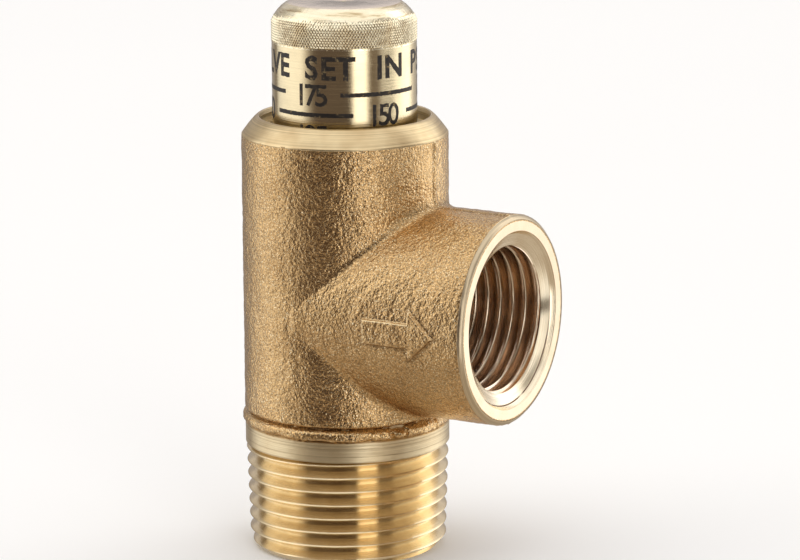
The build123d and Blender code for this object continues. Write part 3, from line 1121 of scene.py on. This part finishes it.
def spring_half(name, lower):
    """Half of the pressure spring, one closed wire, so that each half can follow its own end."""
    low = SPRING_LOW.z + SPRING_WIRE / 2
    high = SPRING_HIGH.z - SPRING_WIRE / 2
    closed_rise = SPRING_CLOSED_TURNS * SPRING_WIRE
    pitch = (high - low - 2 * closed_rise) / (SPRING_TURNS - 2 * SPRING_CLOSED_TURNS)

    def height(turn):
        if turn <= SPRING_CLOSED_TURNS:
            return low + SPRING_WIRE * turn
        if turn >= SPRING_TURNS - SPRING_CLOSED_TURNS:
            return high - SPRING_WIRE * (SPRING_TURNS - turn)
        return low + closed_rise + pitch * (turn - SPRING_CLOSED_TURNS)

    first = 0.0 if lower else SPRING_TURNS / 2
    steps = 240
    around = 20
    wire_r = SPRING_WIRE * 0.49
    vertices = []
    for step in range(steps + 1):
        turn = first + SPRING_TURNS / 2 * step / steps
        angle = 2 * pi * turn
        for side in range(around):
            lean = 2 * pi * side / around
            reach = SPRING_MEAN_R + wire_r * cos(lean)
            z = height(turn) + wire_r * sin(lean)
            vertices.append((reach * cos(angle), reach * sin(angle), z))
    faces = []
    for step in range(steps):
        a = step * around
        b = a + around
        for side in range(around):
            after = (side + 1) % around
            faces.append((a + side, a + after, b + after, b + side))
    faces.append(tuple(range(around)))
    faces.append(tuple(steps * around + side for side in range(around)))
    return make_object(name, vertices, faces)


# ---- Stage

def floor():
    """A plain pale floor that reflections leave out."""
    work = bmesh.new()
    size = 1.2
    corners = ((-size, -size), (size, -size), (size, size), (-size, size))
    work.faces.new([work.verts.new((x, y, 0)) for x, y in corners])
    obj = add_object("floor", work)
    give(obj, paper_floor())
    obj.visible_glossy = False


def studio():
    """A soft studio all round: pale screens at both sides, a narrow one in front, dark gaps between."""
    world = bpy.data.worlds.new("studio")
    bpy.context.scene.world = world
    n = Nodes(world, "Generated")
    turn = {"Vector": n.place, "Angle": -CAMERA_AZIMUTH}
    x, y, z = n.parts(n.add("VectorRotate", turn, rotation_type="Z_AXIS").outputs[0])
    # From 0 to 1 round the studio, with 0.5 straight towards the camera.
    bearing = n.math("ARCTAN2", x, n.times(y, -1.0))
    bearing = n.plus(n.over(bearing, 2 * pi), 0.5)
    # From 0 straight down to 1 straight up.
    height = n.plus(n.times(z, 0.5), 0.5)
    walls = n.ramp(bearing, *[(0.5 + degrees / 360, colour) for degrees, *colour in STUDIO_WALLS])
    upper = n.ramp(bearing, *[(0.5 + degrees / 360, colour) for degrees, *colour in STUDIO_UPPER])
    seen = STUDIO_FLOOR
    for start, end, colour in ((0.24, 0.32, walls), (0.57, 0.62, upper), (0.8, 0.91, STUDIO_CEILING)):
        seen = n.mix(n.steps(height, (start, 0), (end, 1)), seen, colour)
    level = n.steps(height, (0.36, 0), (0.372, 1), (0.415, 1), (0.427, 0))
    sides = ((62, 0.0), (67, 1.0), (84, 1.0), (90, 0.0))
    beside = n.steps(bearing, *[(0.5 + degrees / 360, share) for degrees, share in sides])
    seen = n.mix(n.times(beside, level), seen, STUDIO_BAR)
    to_camera = n.add("LightPath").outputs["Is Camera Ray"]
    background = n.add("Background", {0: n.mix(to_camera, seen, (0.98, 0.98, 0.98)), 1: 1.0})
    n.add("OutputWorld", {0: background.outputs[0]})


def floor_wash():
    """A wide soft light from above, which keeps the floor pale and its shadow faint."""
    data = bpy.data.lights.new("floor_wash", "AREA")
    data.shape = "SQUARE"
    data.size = 1.6
    data.energy = 2.8
    wash = new_object("floor_wash", data)
    wash.location = (0, 0, 1.2)
    wash.visible_glossy = False


def camera():
    """A long lens, aimed a little beside the valve's axis and rolled a little."""
    level = cos(CAMERA_ELEVATION)
    back = Vector((
        sin(CAMERA_AZIMUTH) * level, -cos(CAMERA_AZIMUTH) * level, sin(CAMERA_ELEVATION),
    ))
    right = Vector((cos(CAMERA_AZIMUTH), sin(CAMERA_AZIMUTH), 0))
    up = back.cross(right)
    aim = Vector((0, 0, CAMERA_AIM_Z)) + CAMERA_AIM_RIGHT * right + CAMERA_AIM_UP * up
    right_rolled = right * cos(CAMERA_ROLL) + up * sin(CAMERA_ROLL)
    up_rolled = back.cross(right_rolled)
    turn = Matrix((right_rolled, up_rolled, back)).transposed()
    data = bpy.data.cameras.new("camera")
    data.sensor_width = CAMERA_SENSOR
    data.lens = CAMERA_LENS
    data.clip_start = 0.01
    obj = new_object("camera", data)
    obj.matrix_world = Matrix.Translation((aim + back * CAMERA_DISTANCE) * MM) @ turn.to_4x4()
    bpy.context.scene.camera = obj


# ---- Putting it together

def give(obj, material):
    """Make a material the object's only one."""
    obj.data.materials.clear()
    obj.data.materials.append(material)


def build_body():
    """The casting and the body's turned parts, in place of the CAD body."""
    for piece, material in (
        (body_casting(), cast_brass()), (body_core(), inlet_brass()), (outlet_mouth(), mouth_brass()),
    ):
        give(piece, material)
        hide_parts("valve_body")
        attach(piece, "housing")


def cap_marks():
    """The stamped scale, three times round the sleeve, and the ring of words above it."""
    facing = CAMERA_AZIMUTH - pi / 2
    marks = []
    for row, number in enumerate(("175", "150", "125", "100", "75", "50")):
        z = FIRST_ROW_Z - SCALE_STEP * row
        for copy in range(3):
            start = facing + radians(-2.5 - 60 * (row % 2) + 120 * copy)
            end = start + radians(70)
            label = start - radians(24)
            marks.append(scale_line(f"line_{number}_{copy}", start, end, z, row * 3 + copy))
            marks.append(stamped_text(f"number_{number}_{copy}", number, 3.9, 1.45, label, z - 1.43, 0.06))
    pitch = 2 * pi * CAP_R / len(RING_WORDS)
    middle = facing - radians(33)
    marks.append(stamped_text("words", RING_WORDS, 4.1, pitch, middle, RING_WORDS_Z, 0.12))
    return marks


def build_cap():
    """The cap's sleeve and head, in place of the CAD cap, and its stamped marks."""
    sleeve_brass = turned_brass("turned_sleeve", (0.84, 0.71, 0.46), 0.12, (0.1, 0.24))
    for piece, material in ((cap_shell(), sleeve_brass), (cap_head(), knurled_brass())):
        give(piece, material)
        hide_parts("adjusting_cap")
        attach(piece, "cap")
    fill = dark_fill()
    for piece in cap_marks():
        give(piece, fill)
        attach(piece, "cap")


def build_spring():
    """The spring's two halves, each stretched from the middle to its own end."""
    metal = steel("spring_steel", (0.62, 0.61, 0.6), 0.28)
    lower = spring_half("spring_lower", True)
    upper = spring_half("spring_upper", False)
    for piece in (lower, upper):
        give(piece, metal)
        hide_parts("pressure_spring")
    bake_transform(lower)
    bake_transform(upper)


def finish_inner():
    """Materials for the small parts that keep their CAD shape."""
    brass = turned_brass("turned_inner", (0.78, 0.62, 0.34), 0.15, (0.2, 0.36))
    plate = steel("washer_steel", (0.5, 0.5, 0.51), 0.34)
    bright = steel("bright_steel", (0.66, 0.66, 0.67), 0.24)
    for node, material in (
        ("thrust_washer", plate), ("spring_button", brass), ("disc_holder", brass),
        ("seat_disc", seat_rubber()), ("disc_washer", bright), ("disc_screw", bright),
    ):
        give(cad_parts[node], material)


build_body()
build_cap()
build_spring()
finish_inner()
floor()
studio()
floor_wash()
camera()
bpy.context.scene.view_settings.view_transform = "Standard"
